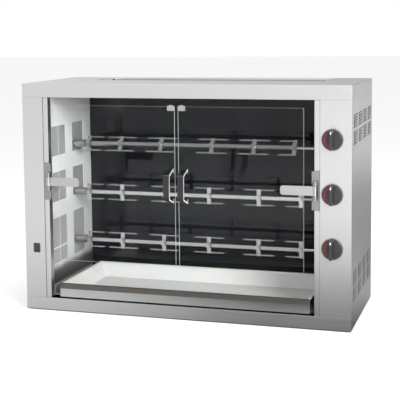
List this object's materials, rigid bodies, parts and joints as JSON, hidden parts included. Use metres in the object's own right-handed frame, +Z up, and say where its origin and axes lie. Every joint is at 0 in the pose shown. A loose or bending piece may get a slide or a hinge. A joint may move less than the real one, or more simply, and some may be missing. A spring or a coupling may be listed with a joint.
{
  "type": "rotisserie oven",
  "caption": "Table-top electric rotisserie oven: steel cabinet with motor-driven spits and forks, hinged glass doors, drip tray and control knobs.",
  "frame": {"origin": "on the table, under the middle of the whole oven with its handles and cable gland", "axes": "+X to the right seen from the front, +Y to the back, +Z up"},
  "size_m": [1.12, 0.536, 0.78],
  "materials": {
    "steel_outer": "fine brushed satin",
    "steel_liner": "bright satin",
    "steel_polished": "polished",
    "steel_grey": "dull satin",
    "black_glass": "glossy black",
    "clear_glass": "clear",
    "black_enamel": "matt black enamel",
    "black_plastic": "satin black",
    "dark_plastic": "satin dark grey",
    "rubber": "matt",
    "zinc_steel": "zinc plated",
    "insulation": "pressed mineral fibre",
    "motor_paint": "grey paint",
    "bronze": "sintered bronze",
    "element_sheath": "oxidised sheath"
  },
  "bodies": {
    "cabinet": {"base_pan": "steel_outer", "cable_gland": "black_plastic", "chamber_ceiling": "steel_liner", "control_panel": "steel_outer", "cover_screws": "steel_polished", "drive_chain": "zinc_steel", "element_reflector": "steel_liner", "gearmotor": "motor_paint", "heating_elements": "element_sheath", "hinge_brackets": "steel_outer", "hinge_pins": "steel_polished", "insulation_board": "insulation", "left_bearings": "bronze", "left_front_panel": "steel_outer", "left_jamb": "steel_outer", "left_liner": "steel_liner", "left_side_panel": "steel_outer", "lower_rear_strip": "black_enamel", "motor_bracket": "zinc_steel", "rear_cover": "steel_outer", "rear_glass": "black_glass", "regulators": "black_plastic", "right_bushes": "bronze", "right_jamb": "steel_outer", "right_liner": "steel_liner", "right_side_panel": "steel_outer", "rubber_feet": "rubber", "switch_housing": "dark_plastic", "terminal_block": "black_plastic", "top_cover": "steel_outer", "tray_rails": "steel_grey", "window_plate": "steel_grey"},
    "door_left": {"door_glass_left": "clear_glass", "hinge_arm_left": "steel_polished", "door_handle_left": "steel_polished", "corner_clip_left": "steel_polished", "door_screws_left": "steel_polished"},
    "door_right": {"door_glass_right": "clear_glass", "hinge_arm_right": "steel_polished", "door_handle_right": "steel_polished", "corner_clip_right": "steel_polished", "door_screws_right": "steel_polished"},
    "tray": {"drip_tray": "steel_liner"},
    "spit_bottom": {"spit_rod_bottom": "steel_polished", "spit_forks_bottom": "steel_polished", "drive_hub_bottom": "zinc_steel"},
    "spit_middle": {"spit_rod_middle": "steel_polished", "spit_forks_middle": "steel_polished", "drive_hub_middle": "zinc_steel"},
    "spit_top": {"spit_rod_top": "steel_polished", "spit_forks_top": "steel_polished", "drive_hub_top": "zinc_steel"},
    "motor_output": {"motor_sprocket": "zinc_steel"},
    "control_bottom": {"knob_bottom": "black_plastic", "knob_shaft_bottom": "zinc_steel"},
    "control_middle": {"knob_middle": "black_plastic", "knob_shaft_middle": "zinc_steel"},
    "control_top": {"knob_top": "black_plastic", "knob_shaft_top": "zinc_steel"},
    "motor_switch": {"rocker": "dark_plastic"}
  },
  "joints": [
    {"name": "door_left_swing", "type": "hinge", "parent": "cabinet", "child": "door_left", "pos_m": [-0.466, -0.2245, 0.448], "axis": [0, 0, -1], "range_deg": [0, 110]},
    {"name": "door_right_swing", "type": "hinge", "parent": "cabinet", "child": "door_right", "pos_m": [0.4465, -0.2245, 0.448], "axis": [0, 0, 1], "range_deg": [0, 110]},
    {"name": "tray_slide", "type": "slide", "parent": "cabinet", "child": "tray", "axis": [0, -1, 0], "range_m": [0, 0.34]},
    {"name": "spit_middle_spin", "type": "hinge", "parent": "cabinet", "child": "spit_middle", "pos_m": [0, 0.004, 0.38325], "axis": [1, 0, 0], "continuous": true},
    {"name": "spit_bottom_spin", "type": "hinge", "parent": "cabinet", "child": "spit_bottom", "pos_m": [0, 0.004, 0.2105], "axis": [1, 0, 0], "continuous": true},
    {"name": "spit_top_spin", "type": "hinge", "parent": "cabinet", "child": "spit_top", "pos_m": [0, 0.004, 0.556], "axis": [1, 0, 0], "continuous": true},
    {"name": "motor_spin", "type": "hinge", "parent": "cabinet", "child": "motor_output", "pos_m": [0, 0.004, 0.29688], "axis": [1, 0, 0], "continuous": true},
    {"name": "knob_bottom_turn", "type": "hinge", "parent": "cabinet", "child": "control_bottom", "pos_m": [0.499, -0.226, 0.264], "axis": [0, 1, 0], "range_deg": [0, 270]},
    {"name": "knob_middle_turn", "type": "hinge", "parent": "cabinet", "child": "control_middle", "pos_m": [0.499, -0.226, 0.437], "axis": [0, 1, 0], "range_deg": [0, 270]},
    {"name": "knob_top_turn", "type": "hinge", "parent": "cabinet", "child": "control_top", "pos_m": [0.499, -0.226, 0.61], "axis": [0, 1, 0], "range_deg": [0, 270]},
    {"name": "switch_rock", "type": "hinge", "parent": "cabinet", "child": "motor_switch", "pos_m": [-0.518, -0.212, 0.2165], "axis": [1, 0, 0], "range_deg": [0, 16]}
  ],
  "couplings": [
    {"joint": "spit_bottom_spin", "follows": "spit_middle_spin", "ratio": 1},
    {"joint": "spit_top_spin", "follows": "spit_middle_spin", "ratio": 1},
    {"joint": "motor_spin", "follows": "spit_middle_spin", "ratio": 1}
  ]
}
